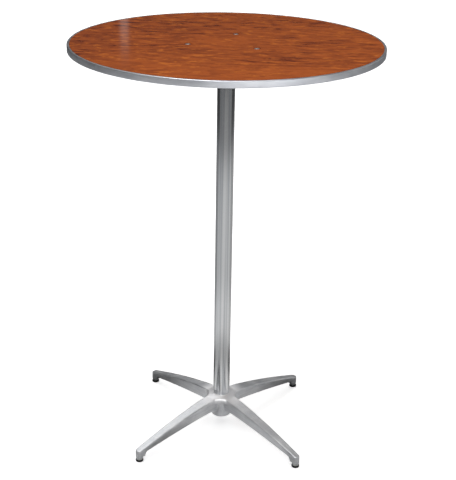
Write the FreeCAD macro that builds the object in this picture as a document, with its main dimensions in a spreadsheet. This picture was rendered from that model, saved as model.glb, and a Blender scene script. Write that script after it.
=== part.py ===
"""Round pub table: a banded plywood top on a single column and a cast four-arm base.

Lengths are in millimetres and angles in degrees.  The frame stands on the floor under the
column's axis, with +Z up, the base's arms on the diagonals and the grain of the top along X.
"""
import FreeCAD, Part
import math
import os
import re
import Sketcher

# Every size that can be set by itself: name, value, what it is.
SIZES = (
    # the top and the channel round its edge
    ("table_height", 1066.8, "floor to the upper face of the top"),
    ("top_radius", 382.5, "outside of the edge band"),
    ("top_thickness", 15.9, "plywood, and the band's height"),
    ("band_wall", 1.5, "outer wall of the channel"),
    ("band_lip_width", 6.0, "reach of each lip over the plywood"),
    ("band_lip_thickness", 1.2, "each lip, let in flush with the plywood"),
    ("band_corner_radius", 1.5, "outer corners of the channel"),
    ("band_gap", 0.2, "plywood rim to the inside of the channel"),
    ("seam_gap", 0.5, "where the bent channel's two ends meet"),
    ("seam_angle", 223.0, "direction of that seam from +X"),
    # the bolts that hold the top to the spider
    ("bolt_circle_radius", 97.5, "column axis to bolt axis"),
    ("bolt_turn", 79.0, "direction of the first bolt from +X"),
    ("bolt_radius", 3.0, "shank"),
    ("bolt_gap", 0.3, "shank to its holes"),
    ("bolt_head_radius", 8.0, "low domed head"),
    ("bolt_head_rise", 2.2, "height of that dome"),
    ("bolt_recess_depth", 2.5, "counterbore that keeps the head below the top"),
    ("bolt_recess_gap", 0.8, "head to the counterbore's wall"),
    ("bolt_point", 3.0, "shank past the nut"),
    ("washer_radius", 6.5, "washer under each bolt's nut"),
    ("washer_thickness", 1.4, "same washer"),
    ("washer_seat_gap", 1.0, "washer to the edge of the flat faced for it under the arm"),
    ("nut_flats", 10.0, "bolt's nut, across flats"),
    ("nut_height", 5.0, "same nut"),
    # the cast spider under the top
    ("spider_hub_radius", 32.0, "hub where it meets the plywood"),
    ("spider_hub_depth", 20.0, "plywood to the shoulder on the column"),
    ("spider_root_half", 15.0, "half width of an arm at the hub"),
    ("spider_tip_half", 11.0, "half width and end radius of an arm at its bolt"),
    ("spider_root_depth", 17.0, "depth of an arm at the hub"),
    ("spider_tip_depth", 8.0, "depth of an arm at its bolt"),
    ("spider_round", 2.0, "lower edges of the arms"),
    # the column and the rod that draws the table together
    ("column_radius", 22.2, "outside of the tube"),
    ("column_wall", 2.5, "tube wall"),
    ("collar_step", 1.5, "castings proud of the tube at its ends"),
    ("spigot_height", 14.0, "spigots that stand inside the tube's ends"),
    ("spigot_gap", 0.2, "spigot to the inside of the tube"),
    ("spigot_bevel", 1.5, "lead-in on the spigots"),
    ("rod_radius", 5.0, "tie rod"),
    ("rod_gap", 0.5, "rod to its hole through the base"),
    ("thread_gap", 0.05, "screwed rod or stud to its hole"),
    ("rod_cover", 9.0, "plywood down to the rod's upper end"),
    ("rod_end_gap", 1.5, "rod's upper end to the bottom of its hole"),
    ("rod_point", 4.0, "rod past its nut"),
    ("rod_bevel", 1.0, "both ends of the rod"),
    ("rod_washer_radius", 13.0, "washer under the base's hub plate"),
    ("rod_washer_thickness", 2.0, "same washer"),
    ("spring_washer_radius", 9.0, "split washer over the rod's nut"),
    ("spring_washer_thickness", 2.2, "same washer, squeezed flat"),
    ("spring_washer_split", 1.2, "gap between its ends"),
    ("rod_nut_flats", 17.0, "rod's nut, across flats"),
    ("rod_nut_height", 8.0, "same nut"),
    # the cast base: hub
    ("hub_radius", 27.5, "boss between the arms"),
    ("hub_bottom", 29.0, "floor to the boss's lower face"),
    ("hub_shoulder", 80.0, "floor to where the boss starts to close in"),
    ("hub_top", 97.0, "floor to the seat of the column"),
    ("hub_crown_radius", 24.0, "curve from the boss in to the column"),
    ("hub_lower_round", 4.0, "lower edge of the boss"),
    ("hub_plate", 24.0, "metal between the column's seat and the nut recess"),
    ("hub_recess_radius", 16.0, "recess for the rod's nut"),
    ("hub_blend", 6.0, "arms into the boss"),
    ("crown_hollow_radius", 47.0, "hollow edges of the crown, from one arm to the next"),
    ("crown_inset", 4.1, "arm's edge past the crown, where the crown runs out inside the arm"),
    ("crown_sink", 0.5, "crown's outer edge below an arm's upper face"),
    ("crown_lip", 0.5, "crown's inner edge below the seat of the column"),
    ("crown_curve_radius", 78.0, "curve by which the crown falls from the column to the arms"),
    ("crown_depth", 12.0, "floor of the crown below an arm's root"),
    ("crown_round", 8.0, "upper side of those hollow edges"),
    # the cast base: arms
    ("arm_root_top", 90.5, "floor to an arm's upper face at the hub"),
    ("arm_tip_top", 34.3, "same, over the foot"),
    ("arm_root_bottom", 50.5, "floor to an arm's keel at the hub"),
    ("arm_tip_bottom", 20.5, "same, over the foot"),
    ("arm_fall", 1.4, "power of the curve by which an arm drops"),
    ("arm_root_half", 17.6, "half width of the upper face at the hub"),
    ("arm_tip_half", 9.6, "same, over the foot"),
    ("keel_root_half", 9.5, "half width of the lower face at the hub"),
    ("keel_tip_half", 9.0, "same, over the foot"),
    ("arm_round", 3.5, "upper edges of an arm"),
    ("keel_round", 2.5, "lower edges of an arm"),
    # the cast base: feet
    ("foot_circle_radius", 289.0, "column axis to a foot's axis"),
    ("foot_radius", 9.8, "boss at an arm's end"),
    ("foot_bottom", 12.0, "floor to that boss, with the glide screwed home"),
    ("foot_boss_height", 16.0, "same boss, up into the arm"),
    ("foot_web_half", 8.7, "half width of the web inside the foot"),
    ("foot_web_reach", 22.0, "that web along the arm, from the foot's axis"),
    ("foot_web_heel", 12.5, "lower end of that web, from the foot's axis"),
    ("foot_web_radius", 30.0, "its hollow lower edge"),
    ("foot_web_step", 0.8, "boss's face up to that web"),
    # the levelling glides
    ("stud_radius", 4.0, "threaded stud"),
    ("stud_reach", 17.0, "stud inside the foot, screwed home"),
    ("stud_end_gap", 1.0, "stud's end to the bottom of its hole"),
    ("stud_bevel", 0.8, "stud's end"),
    ("hex_flats", 15.9, "spanner hexagon of the stud, across flats"),
    ("pad_radius", 10.3, "moulded pad"),
    ("pad_height", 5.0, "same pad"),
    ("pad_round", 1.2, "lower edge of the pad"),
    ("dish_radius", 9.4, "dish in the pad that the hexagon stands in"),
    ("dish_depth", 0.6, "same dish"),
    ("neck_radius", 2.6, "stud's neck below the hexagon"),
    ("neck_length", 1.2, "same neck"),
    ("button_radius", 3.6, "button on the neck that holds the pad"),
    ("button_height", 1.4, "same button"),
    ("swivel_gap", 0.06, "neck and button to the pad"),
)

# Each glide's name and the direction of its arm from +X.
FEET = (
    ("front_right", -45.0),
    ("rear_right", 45.0),
    ("rear_left", 135.0),
    ("front_left", 225.0),
)

ARM_COUNT = 4
BOLT_COUNT = 3
ARM_STATIONS = (0.0, 0.25, 0.5, 0.75, 1.0, 1.06)

doc = FreeCAD.newDocument("pub_table")
sheet = doc.addObject("Spreadsheet::Sheet", "Sizes")
for row, (name, number, meaning) in enumerate(SIZES, start=1):
    sheet.set(f"A{row}", meaning)
    sheet.set(f"B{row}", str(number))
    sheet.setAlias(f"B{row}", name)
doc.recompute()

NAMES = re.compile(r"\b(" + "|".join(size[0] for size in SIZES) + r")\b")


def bound(formula):
    """A formula of size names, as an expression that reads the sheet."""
    return NAMES.sub(r"Sizes.\1", formula)


def value(formula):
    """The number that a formula of size names has now."""
    result = sheet.evalExpression(bound(formula))
    return float(getattr(result, "Value", result))


def bind(thing, place, formula):
    thing.setExpression(place, bound(formula))


def new_body(label, height="0", turn="0", along=None):
    """A body at a height, turned about Z, or standing off the axis as (x, y)."""
    body = doc.addObject("PartDesign::Body", label)
    body.Label = label
    bind(body, "Placement.Base.z", height)
    bind(body, "Placement.Rotation.Angle", turn)
    if along:
        bind(body, "Placement.Base.x", along[0])
        bind(body, "Placement.Base.y", along[1])
    return body


def origin_feature(body, role):
    return next(part for part in body.Origin.OriginFeatures if part.Role == role)


def new_sketch(body, name, plane, lift):
    sketch = body.newObject("Sketcher::SketchObject", f"{body.Label}_{name}")
    sketch.AttachmentSupport = [(origin_feature(body, plane), "")]
    sketch.MapMode = "FlatFace"
    bind(sketch, "AttachmentOffset.Base.z", lift)
    return sketch


def fix_point(sketch, geometry, end, across, up):
    """Hold a point of the sketch at two formulas."""
    for kind, axis, formula in (("DistanceX", -2, across), ("DistanceY", -1, up)):
        if formula == "0":
            sketch.addConstraint(Sketcher.Constraint("PointOnObject", geometry, end, axis))
            continue
        number = value(formula)
        index = sketch.addConstraint(Sketcher.Constraint(kind, -1, 1, geometry, end, number))
        bind(sketch, f"Constraints[{index}]", formula)


def outline(body, name, plane, corners, arcs=None, lift="0"):
    """A closed outline through corners, given as formulas.

    A side is straight, or an arc of a given radius that swells to the right (1) or to
    the left (-1) of the way round: arcs maps the side's number to (radius, swell).
    """
    sketch = new_sketch(body, name, plane, lift)
    arcs = arcs or {}
    points = [FreeCAD.Vector(value(x), value(y), 0) for x, y in corners]
    ends = []
    for side, start in enumerate(points):
        finish = points[(side + 1) % len(points)]
        if side in arcs:
            radius = value(arcs[side][0])
            chord = finish - start
            sagitta = radius - math.sqrt(radius ** 2 - (chord.Length / 2) ** 2)
            right = FreeCAD.Vector(chord.y, -chord.x, 0).normalize()
            middle = (start + finish) / 2 + right * sagitta * arcs[side][1]
            index = sketch.addGeometry(Part.Arc(start, middle, finish))
            forward = sketch.getPoint(index, 1).distanceToPoint(start) < chord.Length / 2
            ends.append((index, (1, 2) if forward else (2, 1)))
            held = sketch.addConstraint(Sketcher.Constraint("Radius", index, radius))
            bind(sketch, f"Constraints[{held}]", arcs[side][0])
        else:
            index = sketch.addGeometry(Part.LineSegment(start, finish))
            ends.append((index, (1, 2)))
    for side, (index, (first, last)) in enumerate(ends):
        following, (following_first, _) = ends[(side + 1) % len(ends)]
        sketch.addConstraint(Sketcher.Constraint("Coincident", index, last, following, following_first))
        fix_point(sketch, index, first, *corners[side])
    return sketch


def circles(body, name, rings, lift="0"):
    """A sketch of circles, each given as (x, y, radius) formulas, on a level plane."""
    sketch = new_sketch(body, name, "XY_Plane", lift)
    for across, up, radius in rings:
        centre = FreeCAD.Vector(value(across), value(up), 0)
        index = sketch.addGeometry(Part.Circle(centre, FreeCAD.Vector(0, 0, 1), value(radius)))
        fix_point(sketch, index, 3, across, up)
        held = sketch.addConstraint(Sketcher.Constraint("Radius", index, value(radius)))
        bind(sketch, f"Constraints[{held}]", radius)
    return sketch


def hexagon(across, flats):
    """The corners of a hexagon about (across, 0), given its size across flats."""
    corners = []
    for step in range(6):
        reach = f"({flats}) / sqrt(3)"
        corners.append((f"{across} + {reach} * cos({60 * step})", f"{reach} * sin({60 * step})"))
    corners[0] = (corners[0][0], "0")
    corners[3] = (corners[3][0], "0")
    return corners


def feature(body, kind, name, profile):
    made = body.newObject(f"PartDesign::{kind}", f"{body.Label}_{name}")
    made.Profile = profile
    return made


def pad(body, name, profile, length, down=False, midplane=False):
    made = feature(body, "Pad", name, profile)
    made.Reversed = down
    made.Midplane = midplane
    bind(made, "Length", length)
    return made


def pocket(body, name, profile, length=None, upwards=False, midplane=False):
    """Cut a profile down from its plane, up from it or both ways, to a depth or right through."""
    doc.recompute()
    before = body.Tip.Shape.Volume
    made = feature(body, "Pocket", name, profile)
    made.Reversed = upwards
    made.Midplane = midplane
    if length is None:
        made.Type = "ThroughAll"
    else:
        bind(made, "Length", length)
    doc.recompute()
    if made.Shape.Volume >= before:
        raise RuntimeError(f"{made.Name} cuts nothing")
    return made


def turned(body, kind, name, profile, angle="360"):
    """Revolve a profile about Z, as added metal (Revolution) or as a cut (Groove)."""
    made = feature(body, kind, name, profile)
    made.ReferenceAxis = (profile, ["V_Axis"])
    bind(made, "Angle", angle)
    return made


def pattern(body, count, whole=False):
    """Repeat all the body's features, or its whole shape, round the Z axis."""
    doc.recompute()
    sources = [one for one in body.Group if one.isDerivedFrom("PartDesign::FeatureAddSub")]
    made = body.newObject("PartDesign::PolarPattern", f"{body.Label}_pattern")
    if whole:
        made.TransformMode = "Whole shape"
    else:
        made.Originals = sources
    made.Axis = (origin_feature(body, "Z_Axis"), [""])
    made.Angle = 360
    made.Occurrences = count
    body.Tip = made
    return made


def middle_of(edge):
    return edge.valueAt((edge.FirstParameter + edge.LastParameter) / 2)


def dress(body, kind, name, amount, chosen):
    """Fillet or Chamfer the edges of the body's present shape that pass a test."""
    doc.recompute()
    base = body.Tip
    picked = [f"Edge{n}" for n, edge in enumerate(base.Shape.Edges, start=1) if chosen(edge)]
    if not picked:
        raise RuntimeError(f"{body.Label}_{name} finds no edge")
    made = body.newObject(f"PartDesign::{kind}", f"{body.Label}_{name}")
    made.Base = (base, picked)
    bind(made, "Radius" if kind == "Fillet" else "Size", amount)
    return made


def is_ring(edge, radius, height):
    """True for an edge that is part of a level circle about Z of that radius and height."""
    near = 1e-4
    points = [edge.valueAt(edge.FirstParameter), middle_of(edge)]
    return all(abs(math.hypot(p.x, p.y) - radius) < near and abs(p.z - height) < near for p in points)


# Plywood top: a disc with its rim rebated on both faces, so that the lips of the edge
# band lie flush.  Each bolt has a counterbore for its head and a clear hole.
def build_plywood_top():
    body = new_body("plywood_top", "table_height - top_thickness", "bolt_turn")
    rim = "top_radius - band_wall - band_gap"
    shoulder = "top_radius - band_lip_width - band_gap"
    upper = "top_thickness - band_lip_thickness"
    profile = outline(body, "section", "XZ_Plane", (
        ("0", "0"), (shoulder, "0"), (shoulder, "band_lip_thickness"), (rim, "band_lip_thickness"),
        (rim, upper), (shoulder, upper), (shoulder, "top_thickness"), ("0", "top_thickness"),
    ))
    turned(body, "Revolution", "disc", profile)
    recess = "bolt_head_radius + bolt_recess_gap"
    for step in range(BOLT_COUNT):
        place = (f"bolt_circle_radius * cos({360 * step / BOLT_COUNT})",
                 f"bolt_circle_radius * sin({360 * step / BOLT_COUNT})" if step else "0")
        sunk = circles(body, f"recess_{step}", [place + (recess,)], "top_thickness")
        pocket(body, f"recess_cut_{step}", sunk, "bolt_recess_depth")
        hole = circles(body, f"hole_{step}", [place + ("bolt_radius + bolt_gap",)], "top_thickness")
        pocket(body, f"hole_cut_{step}", hole)
    return body


# Edge band: an aluminium channel bent round the rim of the plywood, its two ends butted
# at one seam.
def build_edge_band():
    body = new_body("edge_band", "table_height - top_thickness",
                    "seam_angle + seam_gap / top_radius * 90 / pi")
    inner = "top_radius - band_lip_width"
    ring = "360 - seam_gap / top_radius * 180 / pi"
    block = outline(body, "section", "XZ_Plane", (
        (inner, "0"), ("top_radius", "0"), ("top_radius", "top_thickness"), (inner, "top_thickness"),
    ))
    turned(body, "Revolution", "ring", block, ring)
    lower, upper = "band_lip_thickness", "top_thickness - band_lip_thickness"
    wall = "top_radius - band_wall"
    slot = outline(body, "slot", "XZ_Plane", ((inner, lower), (wall, lower), (wall, upper), (inner, upper)))
    turned(body, "Groove", "slot_cut", slot, ring)
    heights = (0, value("top_thickness"))
    radius = value("top_radius")
    dress(body, "Fillet", "corners", "band_corner_radius",
          lambda edge: any(is_ring(edge, radius, height) for height in heights))
    return body


# Bolts through the top: low domed heads and plain shanks, one solid for each bolt.
def build_top_bolts():
    body = new_body("top_bolts", "table_height", "bolt_turn")
    body.AllowCompound = True
    seat = "-bolt_recess_depth"
    crown = "bolt_head_rise - bolt_recess_depth"
    end = "-top_thickness - spider_tip_depth - washer_thickness - nut_height - bolt_point"
    axis = "bolt_circle_radius"
    curve = "(bolt_head_radius ^ 2 + bolt_head_rise ^ 2) / (2 * bolt_head_rise)"
    profile = outline(body, "section", "XZ_Plane", (
        (axis, end), (f"{axis} + bolt_radius", end), (f"{axis} + bolt_radius", seat),
        (f"{axis} + bolt_head_radius", seat), (axis, crown),
    ), {3: (curve, 1)})
    bolt = feature(body, "Revolution", "bolt", profile)
    edge = next(n for n, line in enumerate(profile.Geometry, start=1)
                if abs(line.StartPoint.x - line.EndPoint.x) < 1e-6
                and abs(line.StartPoint.x - value(axis)) < 1e-6)
    bolt.ReferenceAxis = (profile, [f"Edge{edge}"])
    bolt.Angle = 360
    pattern(body, BOLT_COUNT)
    return body


# Washers and nuts under the spider's arms, one solid of each for every bolt.
def build_bolt_washers_and_nuts():
    under_spider = "table_height - top_thickness - spider_tip_depth"
    washers = new_body("top_bolt_washers", under_spider, "bolt_turn")
    washers.AllowCompound = True
    rings = [("bolt_circle_radius", "0", "washer_radius"),
             ("bolt_circle_radius", "0", "bolt_radius + bolt_gap")]
    pad(washers, "disc", circles(washers, "rings", rings), "washer_thickness", down=True)
    pattern(washers, BOLT_COUNT)

    nuts = new_body("top_bolt_nuts", f"{under_spider} - washer_thickness", "bolt_turn")
    nuts.AllowCompound = True
    blank = outline(nuts, "hexagon", "XY_Plane", hexagon("bolt_circle_radius", "nut_flats"))
    pad(nuts, "blank", blank, "nut_height", down=True)
    bore = circles(nuts, "bore", [("bolt_circle_radius", "0", "bolt_radius + thread_gap")])
    pocket(nuts, "bore_cut", bore)
    pattern(nuts, BOLT_COUNT)
    return washers, nuts


# Top spider: a casting with a hub that seats on the column and arms that narrow and thin
# towards a round end, whose bolt clamps the plywood.
def build_top_spider():
    body = new_body("top_spider", "table_height - top_thickness", "bolt_turn")
    body.AllowCompound = True
    root, axis = "(spider_hub_radius / 3)", "bolt_circle_radius"
    half, tip = "spider_root_half", "spider_tip_half"
    run = f"({axis} - {root})"
    lean = f"(acos({tip} / sqrt({half} ^ 2 + {run} ^ 2)) - atan({run} / {half}))"
    ahead, beside = f"{axis} + {tip} * sin({lean})", f"{tip} * cos({lean})"
    plan = outline(body, "arm_plan", "XY_Plane", (
        (root, f"-{half}"), (ahead, f"-{beside}"), (ahead, beside), (root, half),
    ), {1: (tip, 1)})
    pad(body, "arm", plan, "spider_root_depth", down=True)
    past = f"{axis} + 2 * {tip}"
    rise = f"(spider_root_depth - spider_tip_depth) * (1 + 2 * {tip} / {run})"
    slope = outline(body, "arm_slope", "XZ_Plane", (
        (root, "-spider_root_depth"), (past, "-spider_root_depth"), (past, f"-spider_root_depth + {rise}"),
    ))
    pocket(body, "arm_slope_cut", slope, midplane=True)
    hole = circles(body, "bolt_hole", [("bolt_circle_radius", "0", "bolt_radius + bolt_gap")])
    pocket(body, "bolt_hole_cut", hole)
    hub_side = value("spider_hub_radius")

    def lower_edge(edge):
        point = middle_of(edge)
        below = point.z < -value("spider_tip_depth") / 2
        clear = math.hypot(point.x - value("bolt_circle_radius"), point.y) > value("washer_radius")
        return point.x > hub_side and below and clear and abs(edge.tangentAt(edge.FirstParameter).z) < 0.5

    dress(body, "Fillet", "arm_round", "spider_round", lower_edge)
    seat = circles(body, "washer_seat", [("bolt_circle_radius", "0", "washer_radius + washer_seat_gap")],
                   "-spider_tip_depth")
    pocket(body, "washer_seat_cut", seat, "spider_root_depth - spider_tip_depth")
    pattern(body, BOLT_COUNT, whole=True)
    collar = "column_radius + collar_step"
    spigot = "column_radius - column_wall - spigot_gap"
    foot = "-spider_hub_depth - spigot_height"
    profile = outline(body, "hub_section", "XZ_Plane", (
        ("0", "0"), ("0", foot), (f"{spigot} - spigot_bevel", foot), (spigot, f"{foot} + spigot_bevel"),
        (spigot, "-spider_hub_depth"), (collar, "-spider_hub_depth"), ("spider_hub_radius", "0"),
    ))
    turned(body, "Revolution", "hub", profile)
    hole = circles(body, "rod_hole", [("0", "0", "rod_radius + thread_gap")], foot)
    depth = "spider_hub_depth + spigot_height - rod_cover + rod_end_gap"
    pocket(body, "rod_hole_cut", hole, depth, upwards=True)
    return body


# Column: a plain round tube standing between the two castings.
def build_column_tube():
    body = new_body("column_tube", "hub_top")
    rings = [("0", "0", "column_radius"), ("0", "0", "column_radius - column_wall")]
    pad(body, "tube", circles(body, "rings", rings),
        "table_height - top_thickness - spider_hub_depth - hub_top")
    return body


# Tie rod: screwed up into the spider and drawn tight by a nut on a flat and a split washer.
def build_tie_rod():
    ceiling = "hub_top - hub_plate"
    under_washers = f"{ceiling} - rod_washer_thickness - spring_washer_thickness"
    foot = f"{under_washers} - rod_nut_height - rod_point"
    rod = new_body("tie_rod", foot)
    length = f"table_height - top_thickness - rod_cover - ({foot})"
    pad(rod, "bar", circles(rod, "ring", [("0", "0", "rod_radius")]), length)
    ends = (0, value(length))
    dress(rod, "Chamfer", "ends", "rod_bevel",
          lambda edge: any(is_ring(edge, value("rod_radius"), height) for height in ends))

    washer = new_body("tie_rod_washer", ceiling)
    rings = [("0", "0", "rod_washer_radius"), ("0", "0", "rod_radius + rod_gap")]
    pad(washer, "disc", circles(washer, "rings", rings), "rod_washer_thickness", down=True)

    spring = new_body("tie_rod_spring_washer", f"{ceiling} - rod_washer_thickness")
    rings = [("0", "0", "spring_washer_radius"), ("0", "0", "rod_radius + rod_gap")]
    pad(spring, "ring", circles(spring, "rings", rings), "spring_washer_thickness", down=True)
    half, past = "spring_washer_split / 2", "2 * spring_washer_radius"
    split = outline(spring, "split", "XY_Plane", (
        ("0", f"-{half}"), (past, f"-{half}"), (past, half), ("0", half),
    ))
    pocket(spring, "split_cut", split)

    nut = new_body("tie_rod_nut", under_washers)
    blank = outline(nut, "hexagon", "XY_Plane", hexagon("0", "rod_nut_flats"))
    pad(nut, "blank", blank, "rod_nut_height", down=True)
    pocket(nut, "bore_cut", circles(nut, "bore", [("0", "0", "rod_radius + thread_gap")]))
    return rod, washer, spring, nut


# Crown of the base: a flat bell that falls from the column's seat to the arms.  Its hollow
# edges lead from each arm to the next, and it runs out inside the arms.
def build_base_crown():
    crown = new_body("base_crown")
    hollow = "crown_hollow_radius"
    reach = f"(arm_root_half - crown_inset + {hollow})"
    share = f"(({reach} - hub_radius) / (foot_circle_radius - hub_radius))"
    rim = f"arm_root_top - (arm_root_top - arm_tip_top) * {share} ^ arm_fall - crown_sink"
    lower = "arm_root_top - crown_depth"
    collar, peak = "column_radius + collar_step", "hub_top - crown_lip"
    section = outline(crown, "section", "XZ_Plane", (
        ("0", lower), (reach, lower), (reach, rim), (collar, peak), ("0", peak),
    ), {2: ("crown_curve_radius", -1)})
    turned(crown, "Revolution", "bell", section)
    centres = [(f"{across}{reach}", f"{up}{reach}", hollow) for across in ("", "-") for up in ("", "-")]
    pocket(crown, "hollow_cut", circles(crown, "hollows", centres, lower), upwards=True)
    near = value("crown_round") / 2
    dress(crown, "Fillet", "rim", "crown_round",
          lambda edge: middle_of(edge).z > value(rim)
          and abs(abs(middle_of(edge).x) - abs(middle_of(edge).y)) < near)
    return crown


# Base casting.  An arm is lofted through sections that narrow and drop along a falling
# curve, from a level root in the hub to a round nose over the foot, with a wide upper face
# and a narrow keel.  Four arms grow out of a turned boss that closes in to the column.
def build_base_casting():
    body = new_body("base_casting", turn="45")
    span = "(foot_circle_radius - hub_radius)"

    def along(root, tip, part, power):
        return f"({root} - ({root} - {tip}) * {part} ^ {power})"

    def arm_section(number, reach, part):
        upper = along("arm_root_half", "arm_tip_half", part, "1")
        keel = along("keel_root_half", "keel_tip_half", part, "1")
        top = along("arm_root_top", "arm_tip_top", part, "arm_fall")
        bottom = along("arm_root_bottom", "arm_tip_bottom", part, "arm_fall")
        corners = ((f"-{keel}", bottom), (keel, bottom), (upper, top), (f"-{upper}", top))
        return outline(body, f"arm_section_{number}", "YZ_Plane", corners, lift=reach)

    sections = [arm_section("root", "hub_radius / 4", 0.0)]
    for number, part in enumerate(ARM_STATIONS):
        sections.append(arm_section(number, f"hub_radius + {part} * {span}", part))
    doc.recompute()
    arm = feature(body, "AdditiveLoft", "arm", sections[0])
    arm.Sections = sections[1:]

    foot, radius = "foot_circle_radius", "foot_radius"
    past, beside = f"{foot} + 3 * {radius}", f"2 * {radius}"
    nose = outline(body, "nose", "XY_Plane", (
        (foot, f"-{radius}"), (foot, f"-({beside})"), (past, f"-({beside})"), (past, beside),
        (foot, beside), (foot, radius), (f"{foot} + {radius}", "0"),
    ), {5: (radius, -1), 6: (radius, -1)})
    pocket(body, "nose_cut", nose, upwards=True)

    boss = circles(body, "foot", [(foot, "0", radius)], "foot_bottom")
    pad(body, "foot_boss", boss, "foot_boss_height")

    reach = value("foot_circle_radius") - value("hub_radius")

    def drop(point, root, tip):
        """Height of a point above the arm's upper or lower line."""
        part = max(0.0, (point.x - value("hub_radius")) / reach)
        return point.z - value(root) + (value(root) - value(tip)) * part ** value("arm_fall")

    near_line = value("arm_round") / 2
    outside_hub = value("hub_radius") * 1.5
    dress(body, "Fillet", "arm_round", "arm_round",
          lambda edge: middle_of(edge).x > outside_hub
          and abs(drop(middle_of(edge), "arm_root_top", "arm_tip_top")) < near_line)
    dress(body, "Fillet", "keel_round", "keel_round",
          lambda edge: outside_hub < middle_of(edge).x and edge.Length > reach / 2
          and abs(drop(middle_of(edge), "arm_root_bottom", "arm_tip_bottom")) < near_line)
    web_top = "foot_bottom + foot_boss_height"
    web_foot = "foot_bottom + foot_web_step"
    web = outline(body, "foot_web", "XZ_Plane", (
        (f"{foot} - foot_web_reach", web_top), (f"{foot} - foot_web_heel", web_foot),
        (foot, web_foot), (foot, web_top),
    ), {0: ("foot_web_radius", -1)})
    pad(body, "foot_web_pad", web, "2 * foot_web_half", midplane=True)
    stud_hole = circles(body, "stud_hole", [(foot, "0", "stud_radius + thread_gap")], "foot_bottom")
    pocket(body, "stud_hole_cut", stud_hole, "stud_reach + stud_end_gap", upwards=True)
    pattern(body, ARM_COUNT, whole=True)

    collar = "column_radius + collar_step"
    spigot = "column_radius - column_wall - spigot_gap"
    peak = "hub_top + spigot_height"
    profile = outline(body, "hub_section", "XZ_Plane", (
        ("0", "hub_bottom"), ("hub_radius", "hub_bottom"), ("hub_radius", "hub_shoulder"),
        (collar, "hub_top"), (spigot, "hub_top"), (spigot, f"{peak} - spigot_bevel"),
        (f"{spigot} - spigot_bevel", peak), ("0", peak),
    ), {2: ("hub_crown_radius", 1)})
    turned(body, "Revolution", "hub", profile)

    def joins_hub(edge):
        """An edge on the boss's wall or crown, where an arm grows out of it."""
        span_of = edge.LastParameter - edge.FirstParameter
        points = [edge.valueAt(edge.FirstParameter + span_of * step / 4) for step in range(5)]
        radii = [math.hypot(point.x, point.y) for point in points]
        heights = [point.z for point in points]
        on_hub = min(radii) > value(spigot) + 0.1 and max(radii) < value("hub_radius") + 0.01
        level = max(heights) - min(heights) < 0.01 and max(radii) - min(radii) < 0.01
        ring = level and abs(heights[0] - value("arm_root_bottom")) > 0.01
        return on_hub and value("hub_bottom") < min(heights) and max(heights) < value("hub_top") and not ring

    dress(body, "Fillet", "hub_blend", "hub_blend", joins_hub)
    dress(body, "Fillet", "hub_lower_round", "hub_lower_round",
          lambda edge: is_ring(edge, value("hub_radius"), value("hub_bottom")))
    joined = body.newObject("PartDesign::Boolean", f"{body.Label}_crown")
    joined.Type = "Fuse"
    joined.setObjects([build_base_crown()])
    body.Tip = joined
    recess = circles(body, "nut_recess", [("0", "0", "hub_recess_radius")], "hub_bottom")
    pocket(body, "nut_recess_cut", recess, "hub_top - hub_plate - hub_bottom", upwards=True)
    hole = circles(body, "rod_hole", [("0", "0", "rod_radius + rod_gap")], peak)
    pocket(body, "rod_hole_cut", hole)
    return body


# Levelling glide: a stud with a hexagon to turn it by, screwed into the foot, and a moulded
# pad that its button turns in.
def build_glide(corner, direction):
    place = (f"foot_circle_radius * cos({direction})", f"foot_circle_radius * sin({direction})")
    seat = "pad_height - dish_depth"
    neck_foot = f"{seat} - neck_length"
    button_foot = f"{neck_foot} - button_height"

    stud = new_body(f"glide_stud_{corner}", turn=str(direction), along=place)
    button = circles(stud, "button", [("0", "0", "button_radius")], button_foot)
    pad(stud, "button_pad", button, "button_height")
    neck = circles(stud, "neck", [("0", "0", "neck_radius")], neck_foot)
    pad(stud, "neck_pad", neck, "neck_length")
    flats = outline(stud, "hexagon", "XY_Plane", hexagon("0", "hex_flats"), lift=seat)
    pad(stud, "hexagon_pad", flats, f"foot_bottom - ({seat})")
    screw = circles(stud, "screw", [("0", "0", "stud_radius")], "foot_bottom")
    pad(stud, "screw_pad", screw, "stud_reach")
    end = value("foot_bottom + stud_reach")
    dress(stud, "Chamfer", "screw_end", "stud_bevel",
          lambda edge: is_ring(edge, value("stud_radius"), end))

    glide = new_body(f"glide_pad_{corner}", turn=str(direction), along=place)
    bore, pocket_wall = "neck_radius + swivel_gap", "button_radius + swivel_gap"
    socket_foot = f"{button_foot} - swivel_gap"
    socket_top = f"{neck_foot} + swivel_gap"
    profile = outline(glide, "section", "XZ_Plane", (
        ("0", "0"), ("pad_radius", "0"), ("pad_radius", "pad_height"), ("dish_radius", "pad_height"),
        ("dish_radius", seat), (bore, seat), (bore, socket_top), (pocket_wall, socket_top),
        (pocket_wall, socket_foot), ("0", socket_foot),
    ))
    turned(glide, "Revolution", "pad", profile)
    dress(glide, "Fillet", "lower_edge", "pad_round",
          lambda edge: is_ring(edge, value("pad_radius"), 0))
    return stud, glide


pieces = [build_plywood_top(), build_edge_band(), build_top_bolts(),
          *build_bolt_washers_and_nuts(), build_top_spider(), build_column_tube(), *build_tie_rod(),
          build_base_casting()]
for corner, direction in FEET:
    pieces.extend(build_glide(corner, direction))

doc.recompute()
for thing in doc.Objects:
    if "Invalid" in thing.State or "Error" in thing.State:
        raise RuntimeError(f"{thing.Name} did not build: {thing.State}")
for piece in pieces:
    if piece.Shape.isNull() or not piece.Shape.isValid():
        raise RuntimeError(f"{piece.Label} has no valid shape")

os.makedirs("parts", exist_ok=True)
for piece in pieces:
    piece.Shape.exportStep(f"parts/{piece.Label}.step")
    print(f"{piece.Label}: {len(piece.Shape.Solids)} solids, {piece.Shape.Volume / 1000:.2f} cm3")
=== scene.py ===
import math

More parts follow.
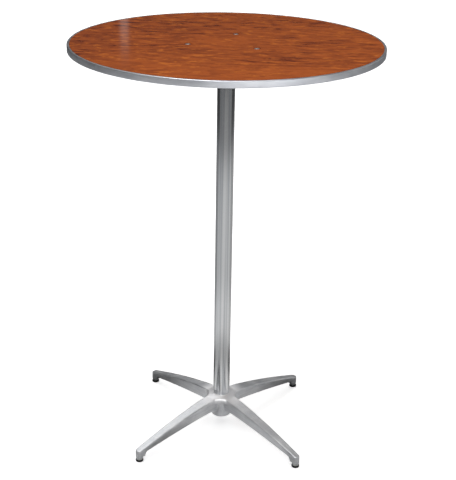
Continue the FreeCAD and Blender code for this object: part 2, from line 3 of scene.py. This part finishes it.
import bmesh
import bpy
import numpy as np
from mathutils import Matrix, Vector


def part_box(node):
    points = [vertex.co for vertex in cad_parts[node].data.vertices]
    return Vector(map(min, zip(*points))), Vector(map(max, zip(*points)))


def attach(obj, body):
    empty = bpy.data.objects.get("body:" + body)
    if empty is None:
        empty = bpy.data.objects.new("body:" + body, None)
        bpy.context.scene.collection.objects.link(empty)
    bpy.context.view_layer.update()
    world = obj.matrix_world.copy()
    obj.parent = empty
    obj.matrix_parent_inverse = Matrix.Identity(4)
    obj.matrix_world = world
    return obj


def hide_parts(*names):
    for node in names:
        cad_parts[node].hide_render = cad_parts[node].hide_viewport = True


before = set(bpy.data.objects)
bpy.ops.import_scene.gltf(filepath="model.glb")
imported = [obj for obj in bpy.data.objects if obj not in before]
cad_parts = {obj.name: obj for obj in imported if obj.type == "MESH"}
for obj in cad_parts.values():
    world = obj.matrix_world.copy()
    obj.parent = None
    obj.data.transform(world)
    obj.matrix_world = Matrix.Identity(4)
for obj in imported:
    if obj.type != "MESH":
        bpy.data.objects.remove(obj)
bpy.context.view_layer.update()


# Base: one aluminium casting, a boss under a bell-shaped crown with four falling arms.  The
# arms were linished along their length and left a satin grey, and a highlight is painted on the crown.
# The solid already has the shape, so it stays and takes the finish.
class Flow:
    """A value inside a material: operators add Math nodes, and node() adds any other kind."""

    def __init__(self, tree, socket=None):
        self.tree = tree
        self.socket = socket

    def node(self, kind, settings, sockets, output=0):
        """Add a node: its settings first, then its sockets' values or links."""
        made = self.tree.nodes.new("ShaderNode" + kind)
        for setting, value in settings.items():
            setattr(made, setting, value)
        for socket, value in sockets.items():
            if isinstance(value, Flow):
                self.tree.links.new(value.socket, made.inputs[socket])
            else:
                made.inputs[socket].default_value = value
        return Flow(self.tree, made.outputs[output] if made.outputs else None)

    def math(self, operation, *values):
        return self.node("Math", {"operation": operation}, dict(enumerate(values)))

    def __add__(self, other):
        return self.math("ADD", self, other)

    def __sub__(self, other):
        return self.math("SUBTRACT", self, other)

    def __rsub__(self, other):
        return self.math("SUBTRACT", other, self)

    def __mul__(self, other):
        return self.math("MULTIPLY", self, other)

    def __truediv__(self, other):
        return self.math("DIVIDE", self, other)

    __radd__ = __add__

    def between(self, low, high):
        """Rise smoothly from 0 at low to 1 at high."""
        return self.node("MapRange", {"interpolation_type": "SMOOTHSTEP"},
                         {"Value": self, "From Min": low, "From Max": high})

    def parts(self):
        """The x, y and z of a vector."""
        return [self.node("SeparateXYZ", {}, {"Vector": self}, axis) for axis in range(3)]

    def vector(self, x, y, z):
        return self.node("CombineXYZ", {}, {"X": x, "Y": y, "Z": z})

    def noise(self, vector, scale, detail=2.0, rough=0.5):
        return self.node("TexNoise", {}, {"Vector": vector, "Scale": scale, "Detail": detail,
                                          "Roughness": rough})

    def stretched(self, x, y, z, detail=2.0, rough=0.5):
        """Noise at coordinates that each carry their own number of waves to the metre."""
        return self.noise(self.vector(x, y, z), 1.0, detail, rough)

    def mix(self, share, first, second):
        """From the first colour to the second as share goes from 0 to 1."""
        return self.node("Mix", {"data_type": "RGBA"}, {0: share, 6: first, 7: second}, 2)


def colour(red, green, blue):
    """A colour given as it looks on screen, 0 to 255, in the linear values that a shader takes."""
    screen = np.array((red, green, blue)) / 255
    linear = np.where(screen < 0.04045, screen / 12.92, ((screen + 0.055) / 1.055) ** 2.4)
    return (*linear.tolist(), 1.0)


def new_finish(name):
    """A new material, as the start of its flow and the place in its pieces' own frame."""
    material = bpy.data.materials.new(name)
    material.use_nodes = True
    material.node_tree.nodes.clear()
    flow = Flow(material.node_tree)
    return material, flow, flow.node("TexCoord", {}, {}, "Object")


def lay(flow, height, strength, depth, **sockets):
    """End a finish: a bump of that depth under a Principled shader with the sockets given."""
    bump = flow.node("Bump", {}, {"Height": height, "Strength": strength, "Distance": depth})
    named = {socket.replace("_", " ").title().replace("Ior", "IOR"): value
             for socket, value in sockets.items()}
    shader = flow.node("BsdfPrincipled", {}, {"Normal": bump, **named})
    flow.node("OutputMaterial", {}, {"Surface": shader})


def dress(node, finish):
    """Give the mesh of a CAD node one finish."""
    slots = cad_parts[node].data.materials
    slots.clear()
    slots.append(finish)


def cast_aluminium():
    """Satin casting: fine marks along the arms, clouds of duller skin, small pits, a painted highlight on
    the crown.
    """
    dull, clean, bright = colour(196, 198, 202), colour(226, 227, 229), colour(250, 250, 252)
    crown_radius, crown_reach = 0.040, 0.085
    crown_foot, crown_top = 0.078, 0.090
    diagonal = math.sqrt(0.5)
    material, flow, place = new_finish("cast_aluminium")
    x, y, z = place.parts()
    first = flow.math("ABSOLUTE", (x + y) * diagonal)
    second = flow.math("ABSOLUTE", (y - x) * diagonal)
    along = flow.math("MAXIMUM", first, second)
    across = flow.math("MINIMUM", first, second)
    marks = flow.stretched(along * 9, across * 420, z * 420, detail=3.0, rough=0.6)
    clouds = flow.noise(place, scale=26.0, detail=4.0, rough=0.6)
    pits = flow.noise(place, scale=900.0)
    worn = clouds.between(0.35, 0.7)
    skin = flow.mix(worn * 0.6 + marks.between(0.35, 0.65) * 0.4, dull, clean)
    # Painted highlight: the crown round the column's foot is painted near white.  The mask takes in
    # everything above the crown's foot near the middle, so the spider's middle is painted near white too.
    painted_crown_highlight = (1 - along.between(crown_radius, crown_reach)) * z.between(crown_foot, crown_top)
    lay(flow, marks * 0.7 + pits * 0.3, strength=0.25, depth=0.0002, metallic=1.0,
        base_color=flow.mix(painted_crown_highlight, skin, bright),
        roughness=0.40 + worn * 0.08 + marks * 0.06 + painted_crown_highlight * 0.12)
    return material


cast_finish = cast_aluminium()
dress("base_casting", cast_finish)


# Glides: a zinc-plated stud with a rolled thread and a chamfered spanner hexagon, whose
# button is snapped into a black moulded nylon pad.  One screws into each foot.
def rounded(corners, steps=6):
    """Closed outline through corners (x, y, radius), each of them rounded by an arc.

    An arc starts where its circle touches the side before the corner and ends where it touches
    the side after it; its points turn evenly from one radius of the circle to the other.
    """
    points = np.array([corner[:2] for corner in corners], float)
    outline = []
    for here, radius, before, after in zip(points, [corner[2] for corner in corners],
                                           np.roll(points, 1, 0), np.roll(points, -1, 0)):
        if radius == 0:
            outline.append(here[None])
            continue
        back = (before - here) / np.linalg.norm(before - here)
        ahead = (after - here) / np.linalg.norm(after - here)
        half = math.acos(np.clip(back @ ahead, -1, 1)) / 2
        middle = here + (back + ahead) / np.linalg.norm(back + ahead) * radius / math.sin(half)
        start = here + back * radius / math.tan(half) - middle
        end = here + ahead * radius / math.tan(half) - middle
        turn = math.pi - 2 * half
        share = np.linspace(0, 1, steps)[:, None]
        arc = np.sin((1 - share) * turn) * start + np.sin(share * turn) * end
        outline.append(middle + arc / math.sin(turn))
    return np.concatenate(outline)


def around(sides):
    """Angles of the places round a form, evenly from 0 up to a full turn."""
    return np.linspace(0, 2 * np.pi, sides, endpoint=False)


def swept(radius, height, angle):
    """Grid of points about the axis: x = r cos a, y = r sin a, z = height."""
    return np.stack(np.broadcast_arrays(radius * np.cos(angle), radius * np.sin(angle), height), -1)


def turned(radius, height, sides):
    """Grid of a turned form, a row for each height, where the radius may change with the angle."""
    radius, height = np.asarray(radius), np.asarray(height)
    radius = radius[:, None] if radius.ndim == 1 else radius
    return swept(radius, height[:, None], around(sides))


def hexagon(flats, height, rows, sides):
    """Levels and radii of a hexagon that a 30 degree cone cuts off at both faces.

    A side lies at half the flats over the cosine of the angle from the nearest flat.  The cone
    starts a little inside the flats at a face and widens with the distance from it.
    """
    cone_start, cone_widening = 0.475, 1.73
    side = flats / 2 / np.cos((around(sides) + np.pi / 6) % (np.pi / 3) - np.pi / 6)
    rise = np.linspace(0, height, rows)
    cone = flats * cone_start + np.minimum(rise, height - rise) * cone_widening
    return rise, np.minimum(side, cone[:, None])


def thread(radius, low, high, pitch, depth, rows, sides):
    """Levels and radii of a rolled thread from low to high, with so many rows to a pitch.

    The radius falls and rises by depth once in a pitch, one pitch up per turn: a triangle wave,
    stretched and cut off so that its crests and roots are flat.
    """
    stretch, cut = 1.3, 0.15
    climb = np.linspace(low, high, 1 + rows * round((high - low) / pitch))
    phase = (climb[:, None] / pitch - around(sides) / (2 * np.pi)) % 1
    return climb, radius - depth * np.clip(stretch * np.abs(2 * phase - 1) - cut, 0, 1)


def solid(name, grids, body, finish, node, looped=False):
    """One piece of closed skins over grids [row, place in the row], looped or capped at both ends."""
    crease = math.radians(38)
    points, faces, first = [], [], 0
    for grid in grids:
        rows, places = grid.shape[:2]
        index = first + np.arange(rows * places).reshape(rows, places)
        below = index if looped else index[:-1]
        above = np.roll(index, -1, 0) if looped else index[1:]
        quads = np.stack((below, np.roll(below, -1, 1), np.roll(above, -1, 1), above), -1)
        faces += quads.reshape(-1, 4).tolist()
        if not looped:
            faces += [index[0, ::-1].tolist(), index[-1].tolist()]
        points.append(grid.reshape(-1, 3))
        first += rows * places
    mesh = bpy.data.meshes.new(name)
    mesh.from_pydata(np.concatenate(points), [], faces)
    shape = bmesh.new()
    shape.from_mesh(mesh)
    bmesh.ops.recalc_face_normals(shape, faces=shape.faces)
    shape.to_mesh(mesh)
    shape.free()
    mesh.shade_smooth()
    mesh.set_sharp_from_angle(angle=crease)
    mesh.materials.append(finish)
    piece = bpy.data.objects.new(name, mesh)
    bpy.context.scene.collection.objects.link(piece)
    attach(piece, body)
    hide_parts(node)
    return piece


def plated_steel():
    """Bright zinc plate: cool grey, faintly clouded, with a fine grit."""
    cool, warm = colour(186, 190, 196), colour(222, 222, 218)
    material, flow, place = new_finish("plated_steel")
    clouds = flow.noise(place, scale=160.0, detail=3.0)
    grit = flow.noise(place, scale=2400.0)
    shade = flow.mix(clouds.between(0.3, 0.7), cool, warm)
    lay(flow, grit, strength=0.2, depth=0.0001, base_color=shade, metallic=1.0,
        roughness=0.22 + clouds * 0.14 + grit * 0.06)
    return material


def black_nylon():
    """Moulded nylon: near black, fine moulded grain, scuffed paler where it drags on the floor."""
    moulded, scuffed = colour(24, 24, 25), colour(74, 72, 69)
    scuff_low, scuff_high = 0.0004, 0.0022
    material, flow, place = new_finish("black_nylon")
    grain = flow.noise(place, scale=1500.0, detail=3.0)
    scuffs = flow.noise(place, scale=240.0, detail=4.0, rough=0.7)
    worn = scuffs.between(0.5, 0.68) * (1 - place.parts()[2].between(scuff_low, scuff_high))
    shade = flow.mix(worn, moulded, scuffed)
    lay(flow, grain, strength=0.3, depth=0.0002, base_color=shade,
        roughness=0.42 + grain * 0.12 + worn * 0.2)
    return material


zinc_finish = plated_steel()
nylon_finish = black_nylon()
pole = 0.0002
dish_radius, dish_depth, dish_edge, dish_corner = 0.0094, 0.0006, 0.0003, 0.0002
pad_foot, pad_lip, pad_sides = 0.0012, 0.0006, 72
neck_radius, neck_length = 0.0026, 0.0012
button_radius, button_height, button_toe, button_heel = 0.0036, 0.0014, 0.0005, 0.0003
swivel_gap = 0.00006
hex_flats, hex_rows, foot_bottom = 0.0159, 13, 0.0120
stud_radius, stud_bevel, stud_sides = 0.0040, 0.0008, 60
stud_pitch, stud_groove, stud_rows = 0.00125, 0.00062, 8
for corner in ("front_right", "rear_right", "rear_left", "front_left"):
    low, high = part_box(f"glide_pad_{corner}")
    centre = np.array(((low.x + high.x) / 2, (low.y + high.y) / 2, 0))
    pad_radius, pad_height = (high.x - low.x) / 2, high.z
    dish_floor = pad_height - dish_depth
    button_top = dish_floor - neck_length
    cavity = button_top - button_height - swivel_gap
    throat = neck_radius + swivel_gap
    socket, ceiling = button_radius + swivel_gap, button_top + swivel_gap
    section = rounded((
        (pole, 0, 0), (pad_radius, 0, pad_foot), (pad_radius, pad_height, pad_lip),
        (dish_radius, pad_height, dish_edge), (dish_radius, dish_floor, dish_corner),
        (throat, dish_floor, dish_corner), (throat, ceiling, 0), (socket, ceiling, 0),
        (socket, cavity, 0), (pole, cavity, 0),
    ))
    solid(f"nylon_pad_{corner}", [turned(*section.T, pad_sides) + centre], f"glide_{corner}",
          nylon_finish, f"glide_pad_{corner}")

    foot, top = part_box(f"glide_stud_{corner}")
    hold = rounded((
        (pole, foot.z, 0), (button_radius, foot.z, button_toe), (button_radius, button_top, button_heel),
        (neck_radius, button_top, 0), (neck_radius, dish_floor, 0),
    ))
    rise, head = hexagon(hex_flats, foot_bottom - dish_floor, hex_rows, stud_sides)
    climb, screw = thread(stud_radius, foot_bottom, top.z, stud_pitch, stud_groove, stud_rows, stud_sides)
    screw = np.minimum(screw, (stud_radius - stud_bevel + top.z - climb)[:, None])
    radius = np.concatenate((np.repeat(hold[:, :1], stud_sides, 1), head, screw))
    height = np.concatenate((hold[:, 1], dish_floor + rise, climb))
    solid(f"glide_screw_{corner}", [turned(radius, height, stud_sides) + centre],
          f"glide_screw_{corner}", zinc_finish, f"glide_stud_{corner}")


# Tie rod: a zinc-plated threaded steel rod inside the column, screwed into the spider and
# drawn tight under the base by a nut on a flat and a split washer.
def nut(flats, bore, height):
    """Grid of a nut: a hexagon with both faces cut off by a cone, round a bore bevelled at both ends."""
    rows, sides = 15, 72
    rise, outside = hexagon(flats, height, rows, sides)
    lead = 0.08 * bore
    inside = np.repeat([[bore + lead], [bore], [bore], [bore + lead]], sides, 1)
    levels = np.concatenate((rise, [height, height - lead, lead, 0]))
    return turned(np.concatenate((outside, inside)), levels, sides)


def tube_section(bore, outside, low, high, edge, steps):
    """Outline of a ring's or tube's wall: a rectangle with its four corners rounded."""
    corners = ((bore, low), (outside, low), (outside, high), (bore, high))
    return rounded([(*corner, edge) for corner in corners], steps)


def washer(outside, bore, height):
    """Grid of a punched washer: its wall's outline turned about the axis."""
    edge, steps, sides = 0.00025, 4, 64
    return turned(*tube_section(bore, outside, 0, height, edge, steps).T, sides)


def level(node):
    """A node's lowest and highest places above the floor."""
    low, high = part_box(node)
    return low.z, high.z


rod_pitch, rod_groove, rod_bevel = 0.0015, 0.00085, 0.0010
rod_rows, rod_sides = 6, 60
rod_clearance, thread_play = 0.0005, 0.00005
low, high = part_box("tie_rod")
rod_radius = (high.x - low.x) / 2
climb, screw = thread(rod_radius, low.z, high.z, rod_pitch, rod_groove, rod_rows, rod_sides)
from_end = np.minimum(climb - low.z, high.z - climb)
screw = np.minimum(screw, (rod_radius - rod_bevel + from_end)[:, None])
solid("threaded_rod", [turned(screw, climb, rod_sides)], "table", zinc_finish, "tie_rod")

low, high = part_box("tie_rod_washer")
solid("rod_washer", [washer(high.x, rod_radius + rod_clearance, high.z - low.z) + (0, 0, low.z)], "table",
      zinc_finish, "tie_rod_washer", looped=True)

low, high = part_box("tie_rod_spring_washer")
split, spring_edge, spring_rows = 0.0012, 0.0002, 90
section = tube_section(rod_radius + rod_clearance, high.y, low.z, high.z, spring_edge, steps=3)
half_split = split / (rod_radius + high.y)
sweep = np.linspace(half_split, 2 * np.pi - half_split, spring_rows)[:, None]
solid("rod_spring_washer", [swept(section[:, 0], section[:, 1], sweep)], "table",
      zinc_finish, "tie_rod_spring_washer")

low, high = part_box("tie_rod_nut")
rod_nut_flats = 0.0170
solid("rod_nut", [nut(rod_nut_flats, rod_radius + thread_play, high.z - low.z) + (0, 0, low.z)], "table",
      zinc_finish, "tie_rod_nut", looped=True)


# Column: a drawn steel tube, satin polished along its length and bright plated.  It stands
# over the base's spigot, and the rod inside it draws it between the base and the spider.
def column_steel():
    """Satin tube: hair lines along it, long soft streaks, and duller bands where hands hold it."""
    dim, bright = colour(172, 176, 181), colour(240, 241, 242)
    material, flow, place = new_finish("column_steel")
    x, y, z = place.parts()
    lines = flow.stretched(x * 1500, y * 1500, z * 5, detail=3.0, rough=0.6)
    streaks = flow.stretched(x * 150, y * 150, z * 0.8)
    smears = flow.stretched(x * 30, y * 30, z * 14, detail=4.0, rough=0.6)
    shade = flow.mix(streaks.between(0.3, 0.7) * 0.7 + lines * 0.3, dim, bright)
    lay(flow, lines, strength=0.25, depth=0.0002, base_color=shade, metallic=1.0,
        roughness=0.12 + lines * 0.06 + smears.between(0.4, 0.75) * 0.04)
    return material


tube_wall, tube_edge, tube_sides = 0.0025, 0.0004, 160
low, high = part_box("column_tube")
section = tube_section(high.x - tube_wall, high.x, low.z, high.z, tube_edge, steps=4)
solid("column", [turned(*section.T, tube_sides)], "table", column_steel(), "column_tube",
      looped=True)


# Spider: the small three-arm aluminium casting under the top.  Its spigot stands in the column
# and a bolt runs through each arm.  The solid has the shape and takes the base's finish.
dress("top_spider", cast_finish)


# Top: fir plywood with a rotary-cut face, stained red-brown and varnished to a gloss.  The
# peeled veneer shows wild bands along X.  The underside is sealed without stain.
def stained_plywood():
    """Peeled veneer: soft contour bands of a waving field, short wild flecks and flames over them,
    dark streaks in patches, painted shade darker towards -X, and a paler underside."""
    amber, brown, flame_gold = colour(207, 104, 40), colour(110, 39, 18), colour(236, 130, 48)
    pale, tan = colour(216, 194, 160), colour(186, 158, 120)
    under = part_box("plywood_top")[0].z
    stain_start, stain_full = under + 0.0004, under + 0.0012
    material, flow, place = new_finish("stained_plywood")
    x, y, z = place.parts()
    swell = flow.stretched(x * 3.0, y * 6.5, 3.1)
    sway = flow.stretched(x * 14.0, y * 30.0, 7.7, detail=3.0, rough=0.6)
    ring = flow.math("FRACT", y * 11.0 + swell * 8.0 + sway * 2.2)
    late = ring.between(0.20, 0.80) * (1 - ring.between(0.84, 1.0))
    fleck = flow.stretched(x * 38.0 + sway * 2.0, y * 85.0, 2.4, detail=4.0, rough=0.68)
    fibre = flow.stretched(x * 60.0, y * 700.0, z * 200, detail=3.0, rough=0.65)
    flame = flow.stretched(x * 30.0, y * 66.0 + sway * 3.0, 1.3, detail=4.0, rough=0.66)
    streak = flow.stretched(x * 11.0, y * 44.0 + swell * 6.0, 9.2, detail=4.0, rough=0.62)
    patch = flow.stretched(x * 2.6 + 0.4, y * 3.4, 5.9)
    wild = (patch + y * 0.45).between(0.38, 0.62)
    streaks = streak.between(0.46, 0.70) * wild
    mottle = fleck.between(0.30, 0.70) * (0.28 + wild * 0.22)
    # The - x * 0.24 term is painted shade: the stained face is painted darker towards -X and lighter
    # towards +X.
    grain_and_painted_side_shade = late * 0.24 + mottle + streaks * 0.62 + (fibre - 0.5) * 0.35 - x * 0.24
    flames = flame.between(0.53, 0.68) * (1 - streaks * 0.8) * 0.72
    stained = flow.mix(flames, flow.mix(grain_and_painted_side_shade, amber, brown), flame_gold)
    sealed = flow.mix(fleck * 0.5 + late * 0.4, pale, tan)
    shade = flow.mix(z.between(stain_start, stain_full), sealed, stained)
    lay(flow, fibre * 0.4 + late * 0.6, strength=0.10, depth=0.0002, base_color=shade,
        specular_ior_level=0.08, roughness=0.42 + fibre * 0.10 + late * 0.06,
        coat_weight=1.0, coat_roughness=0.06)
    return material


dress("plywood_top", stained_plywood())


# Bolts: zinc-plated steel bolts with low domed heads, let into the top and drawn up under
# the spider's arms by plain nuts on washers.
bolt_circle, bolt_turn, bolt_count = 0.0975, math.radians(79), 3
bolt_radius, bolt_bevel, bolt_sides = 0.0030, 0.0006, 48
bolt_pitch, bolt_groove, bolt_rows = 0.0010, 0.0005, 8
threaded_length, thread_end = 0.0180, 0.0005
head_radius, head_rise, head_edge, head_corner = 0.0080, 0.0022, 0.0003, 0.0002
dome_rows = 10
washer_radius, washer_clearance = 0.0065, 0.0003
nut_flats = 0.0100
turns = bolt_turn + np.arange(bolt_count) * 2 * np.pi / bolt_count
places = [np.array((bolt_circle * math.cos(turn), bolt_circle * math.sin(turn), 0)) for turn in turns]
bolt_low, bolt_high = level("top_bolts")
seat = bolt_high - head_rise
threaded_top = bolt_low + threaded_length
climb, screw = thread(bolt_radius, bolt_low, threaded_top, bolt_pitch, bolt_groove, bolt_rows, bolt_sides)
screw = np.minimum(screw, (bolt_radius - bolt_bevel + climb - bolt_low)[:, None])
lean = np.linspace(0, np.pi / 2, dome_rows)[1:]
dome = np.stack((head_radius * np.cos(lean) + pole,
                 seat + head_edge + (head_rise - head_edge) * np.sin(lean)), -1)
upper = np.concatenate(([(bolt_radius, threaded_top + thread_end), (bolt_radius, seat),
                         (head_radius - head_corner, seat), (head_radius, seat + head_corner)], dome))
bolt = turned(np.concatenate((screw, np.repeat(upper[:, :1], bolt_sides, 1))),
              np.concatenate((climb, upper[:, 1])), bolt_sides)
solid("bolts", [bolt + place for place in places], "table", zinc_finish, "top_bolts")

low, high = level("top_bolt_washers")
bolt_washer = washer(washer_radius, bolt_radius + washer_clearance, high - low) + (0, 0, low)
solid("bolt_washers", [bolt_washer + place for place in places], "table", zinc_finish,
      "top_bolt_washers", looped=True)

low, high = level("top_bolt_nuts")
bolt_nut = nut(nut_flats, bolt_radius + thread_play, high - low) + (0, 0, low)
solid("bolt_nuts", [bolt_nut + place for place in places], "table", zinc_finish,
      "top_bolt_nuts", looped=True)


# Edge band: an aluminium channel rolled round the rim, its lips let in flush, with one
# butted seam.  Rolling leaves faint ripples in its wall and lines along it.
def edge_aluminium():
    """Mill-finish channel: drawn lines round the rim, soft clouds, rubbed smooth on the upper lip."""
    dim, bright = colour(212, 215, 222), colour(240, 242, 247)
    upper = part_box("edge_band")[1].z
    lip_start, lip_full = upper - 0.0010, upper - 0.0001
    material, flow, place = new_finish("edge_aluminium")
    x, y, z = place.parts()
    angle = flow.math("ARCTAN2", y, x)
    out = flow.math("SQRT", x * x + y * y)
    lines = flow.stretched(angle * 6, out * 900, z * 2600, detail=3.0, rough=0.6)
    clouds = flow.stretched(x * 14, y * 14, z * 60, detail=3.0, rough=0.55)
    dents = flow.stretched(x * 120, y * 120, z * 120)
    shade = flow.mix(clouds.between(0.3, 0.7) * 0.7 + lines * 0.3, dim, bright)
    lay(flow, lines * 0.4 + dents * 0.6, strength=0.3, depth=0.0003, base_color=shade, metallic=1.0,
        roughness=0.36 + clouds * 0.10 + lines * 0.05 - z.between(lip_start, lip_full) * 0.14)
    return material


band_wall, lip_width, lip_thickness, lip_edge = 0.0015, 0.0060, 0.0012, 0.0003
band_corner, corner_steps, band_rows = 0.0015, 9, 481
seam_gap, seam_angle = 0.0005, math.radians(223)
ripple_height, ripples = 0.00006, ((11, 0), (23, 1), (41, 2))
low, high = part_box("edge_band")
band_radius = high.y
inner, wall = band_radius - lip_width, band_radius - band_wall
upper_lip, lower_lip = high.z - lip_thickness, low.z + lip_thickness
section = rounded((
    (inner, low.z, lip_edge), (band_radius, low.z, band_corner), (band_radius, high.z, band_corner),
    (inner, high.z, lip_edge), (inner, upper_lip, lip_edge), (wall, upper_lip, 0),
    (wall, lower_lip, 0), (inner, lower_lip, lip_edge),
), corner_steps)
half_seam = seam_gap / band_radius / 2
sweep = seam_angle + np.linspace(half_seam, 2 * np.pi - half_seam, band_rows)[:, None]
ripple = ripple_height * sum(np.sin(waves * sweep + start) for waves, start in ripples)
channel = swept(section[:, 0] - np.abs(ripple), section[:, 1], sweep)
edge_channel = solid("edge_channel", [channel], "table", edge_aluminium(), "edge_band")


# Floor: a wide sheet of white paper.  The camera sees it almost white.  The metal mirrors a
# greyer sheet that glows faintly and carries painted shade: a painted shadow pool under the
# front-left arm, painted darkening from the feet outward, behind the base and far off, and a
# painted lighter ring.  Nothing shows it from below.
floor_half = 60.0
floor_mesh = bpy.data.meshes.new("floor")
floor_mesh.from_pydata([(-floor_half, -floor_half, 0), (floor_half, -floor_half, 0),
                        (floor_half, floor_half, 0), (-floor_half, floor_half, 0)], [], [(0, 1, 2, 3)])
floor = bpy.data.objects.new("floor", floor_mesh)
bpy.context.scene.collection.objects.link(floor)
seen_tone, seen_glow, mirrored_glow = 0.90, 0.60, 0.13
open_tone, feet_loss, halo_gain, pool_loss = 0.95, 0.40, 0.22, 0.68
rear_loss, rear_return = 0.50, 0.30
far_tone, far_front_gain = 0.05, 0.19
far_start, far_end = 2.2, 5.0
pool_left, pool_front, pool_core, pool_edge = 0.115, 0.12, 0.04, 0.12
paper, flow, place = new_finish("floor_paper")
x, y = place.parts()[:2]
out = flow.math("SQRT", x * x + y * y)
# Painted shade on the mirrored sheet: darker from the feet outward, in a pool under the front-left arm,
# behind the base and far off, and lighter in a ring round the feet.
far = out.between(far_start, far_end)
far_front = 1 - (y / out).between(-0.45, 0.0)
aside, nearer = x + pool_left, y + pool_front
painted_shadow_pool = 1 - flow.math("SQRT", aside * aside + nearer * nearer).between(pool_core, pool_edge)
painted_halo = out.between(0.32, 0.44) * (1 - out.between(0.5, 0.9))
painted_rear_shade = y.between(0.0, 0.15) * (rear_loss - out.between(0.25, 0.42) * rear_return)
near = open_tone - out.between(0.16, 0.30) * feet_loss + painted_halo * halo_gain - painted_shadow_pool * pool_loss - painted_rear_shade
painted_tone = near * (1 - far) + far * (far_tone + far_front * far_front_gain)
painted_shade_tint = flow.vector(painted_tone, painted_tone, painted_tone)
seen = flow.node("AddShader", {}, {
    0: flow.node("BsdfDiffuse", {}, {"Color": (seen_tone, seen_tone, seen_tone, 1)}),
    1: flow.node("Emission", {}, {"Color": (1.0, 1.0, 1.0, 1), "Strength": seen_glow}),
})
mirrored = flow.node("AddShader", {}, {
    0: flow.node("BsdfDiffuse", {}, {"Color": painted_shade_tint}),
    1: flow.node("Emission", {}, {"Color": painted_shade_tint, "Strength": mirrored_glow}),
})
clear = flow.node("BsdfTransparent", {}, {})
camera_ray = flow.node("LightPath", {}, {}, "Is Camera Ray")
from_below = flow.node("NewGeometry", {}, {}, "Backfacing")
upper_side = flow.node("MixShader", {}, {0: camera_ray, 1: mirrored, 2: seen})
surface = flow.node("MixShader", {}, {0: from_below, 1: upper_side, 2: clear})
flow.node("OutputMaterial", {}, {"Surface": surface})
floor_mesh.materials.append(paper)


# Studio light: a broad soft light overhead, strongest at its left, a patch at the zenith, dim
# fields behind the table and at its right, and a thin strip behind that the varnish mirrors.
# A direction has a side (right), a depth (back) and a rise.  The camera sees a white backdrop.
overhead_left, overhead_fall, rear_gain, flank_gain = 2.12, 1.90, 0.26, 0.9
strip_way, strip_half, strip_gain = math.radians(-7.8), math.radians(0.22), 0.25
zenith_gain, fill = 1.9, 0.014
world = bpy.data.worlds.new("studio")
bpy.context.scene.world = world
world.use_nodes = True
world.node_tree.nodes.clear()
flow = Flow(world.node_tree)
side, depth, rise = flow.node("TexCoord", {}, {}, "Generated").parts()
spread = 1 - flow.math("ABSOLUTE", side + 0.05).between(0.25, 0.60)
overhead = rise.between(0.51, 0.73) * spread * (overhead_left - side.between(-0.14, 0.28) * overhead_fall)
rear = rise.between(0.25, 0.36) * (1 - rise.between(0.48, 0.70)) * depth.between(0.2, 0.7)
rear = rear * side.between(-0.60, 0.20) * rear_gain
flank = side.between(0.5, 0.9) * rise.between(-0.05, 0.10) * (1 - rise.between(0.30, 0.50)) * flank_gain
off_strip = flow.math("ABSOLUTE", flow.math("ARCTAN2", side, depth) - strip_way)
strip = (1 - off_strip.between(strip_half * 0.5, strip_half * 1.5)) * (1 - rise.between(0.19, 0.235))
zenith = rise.between(0.86, 0.97) * zenith_gain
strength = overhead + rear + flank + strip * strip_gain + zenith + fill
direct = flow.node("LightPath", {}, {}, "Is Camera Ray")
strength = strength * (1 - direct) + direct
light = flow.node("Background", {}, {"Color": (1.0, 1.0, 1.0, 1), "Strength": strength})
flow.node("OutputWorld", {}, {"Surface": light})


# Soft boxes: a long one in front lights only the band, a high one lights only the base, and a
# faint one behind lights everything.  The long ones hang below the top's face, so that its
# varnish doesn't mirror them.
aim_height = 0.5
for box_name, box_place, box_size, box_watts, lit_piece in (
    ("front_box", (1.1, -2.5, 0.80), (3.4, 0.36), 13.0, edge_channel),
    ("high_box", (0.2, -1.6, 1.8), (1.2, 0.6), 14.0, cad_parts["base_casting"]),
    ("rear_box", (0.0, 2.6, 0.80), (2.4, 0.36), 0.3, None),
):
    box_light = bpy.data.lights.new(box_name, "AREA")
    box_light.shape = "RECTANGLE"
    box_light.size, box_light.size_y = box_size
    box_light.energy = box_watts
    soft_box = bpy.data.objects.new(box_name, box_light)
    soft_box.location = box_place
    reach = math.hypot(box_place[0], box_place[1])
    tilt, turn = math.atan2(reach, box_place[2] - aim_height), math.atan2(box_place[0], -box_place[1])
    soft_box.rotation_euler = (tilt, 0, turn)
    bpy.context.scene.collection.objects.link(soft_box)
    if lit_piece:
        receivers = bpy.data.collections.new(box_name + "_receivers")
        receivers.objects.link(lit_piece)
        soft_box.light_linking.receiver_collection = receivers


# Camera: where the photograph was taken from, slightly above the top and turned a little, with
# the focal length that the ellipse of the top and the places of the feet give.
picture_height, focal_pixels, sensor = 480, 1046.2, 36.0
camera_place = (0.0953, -2.5045, 1.6030)
yaw, pitch, roll = (math.radians(angle) for angle in (-1.928, 22.803, 1.020))
ahead = np.array((math.sin(yaw) * math.cos(pitch), math.cos(yaw) * math.cos(pitch), -math.sin(pitch)))
right = np.array((math.cos(yaw), -math.sin(yaw), 0))
up = np.cross(right, ahead)
across = math.cos(roll) * right + math.sin(roll) * up
upright = math.cos(roll) * up - math.sin(roll) * right
camera_data = bpy.data.cameras.new("camera")
camera_data.sensor_width = sensor
camera_data.lens = focal_pixels * sensor / picture_height
camera = bpy.data.objects.new("camera", camera_data)
bpy.context.scene.collection.objects.link(camera)
turned_view = Matrix(np.stack((across, upright, -ahead), 1)).to_4x4()
camera.matrix_world = Matrix.Translation(camera_place) @ turned_view
bpy.context.scene.camera = camera
bpy.context.scene.view_settings.view_transform = "Standard"
